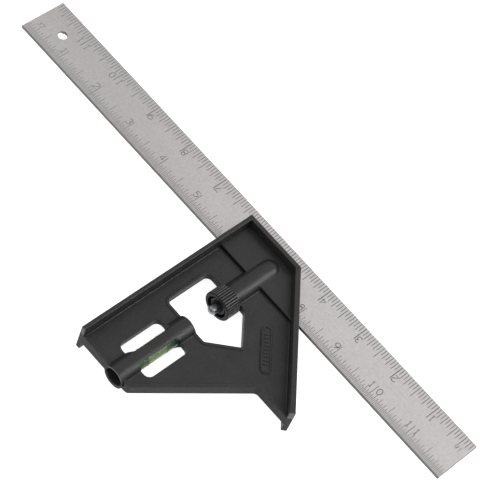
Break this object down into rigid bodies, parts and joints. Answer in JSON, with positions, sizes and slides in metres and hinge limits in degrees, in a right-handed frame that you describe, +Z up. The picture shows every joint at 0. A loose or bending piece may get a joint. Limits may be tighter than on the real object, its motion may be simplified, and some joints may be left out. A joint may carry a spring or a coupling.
{
  "type": "combination square",
  "caption": "Sliding steel rule in a black cast head with square and mitre faces, a knurled clamp nut and a spirit level vial.",
  "frame": {"origin": "centre of the bounding box's bottom, with the square lying on the edges of its head's flanges", "axes": "+X along the rule from its hanging hole end, +Y from the head towards the rule's outer edge, +Z up through the head"},
  "size_m": [0.3048, 0.1168, 0.0182],
  "materials": {
    "cast_black": "satin, finely textured",
    "rule_steel": "satin",
    "bolt_steel": "turned",
    "spring_steel": "drawn wire",
    "nut_black": "satin black",
    "insert_steel": "blackened",
    "vial_clear": "clear",
    "vial_green": "clear liquid",
    "vial_cap": "matte",
    "line_ink": "ink"
  },
  "bodies": {
    "head": {"head_casting": "cast_black", "vial_tube": "vial_clear", "vial_plug": "vial_cap", "vial_liquid": "vial_green", "vial_lines": "line_ink", "vial_retainer": "vial_cap"},
    "rule": {"rule": "rule_steel"},
    "nut": {"knurled_nut": "nut_black", "threaded_insert": "insert_steel"},
    "bolt": {"clamp_bolt": "bolt_steel", "clamp_spring": "spring_steel"}
  },
  "joints": [
    {"name": "rule_slide", "type": "slide", "parent": "head", "child": "rule", "axis": [1, 0, 0], "range_m": [-0.098, 0.15]},
    {"name": "nut_turn", "type": "hinge", "parent": "head", "child": "nut", "pos_m": [0.02495, 0.01005, 0.0091], "axis": [0, -1, 0], "range_deg": [0, 270]},
    {"name": "bolt_slide", "type": "slide", "parent": "head", "child": "bolt", "axis": [0, 1, 0], "range_m": [0, 0.000599], "deforming": ["clamp_spring"]}
  ],
  "couplings": [
    {"joint": "nut_turn", "follows": "bolt_slide", "rad_per_m": 7854}
  ]
}
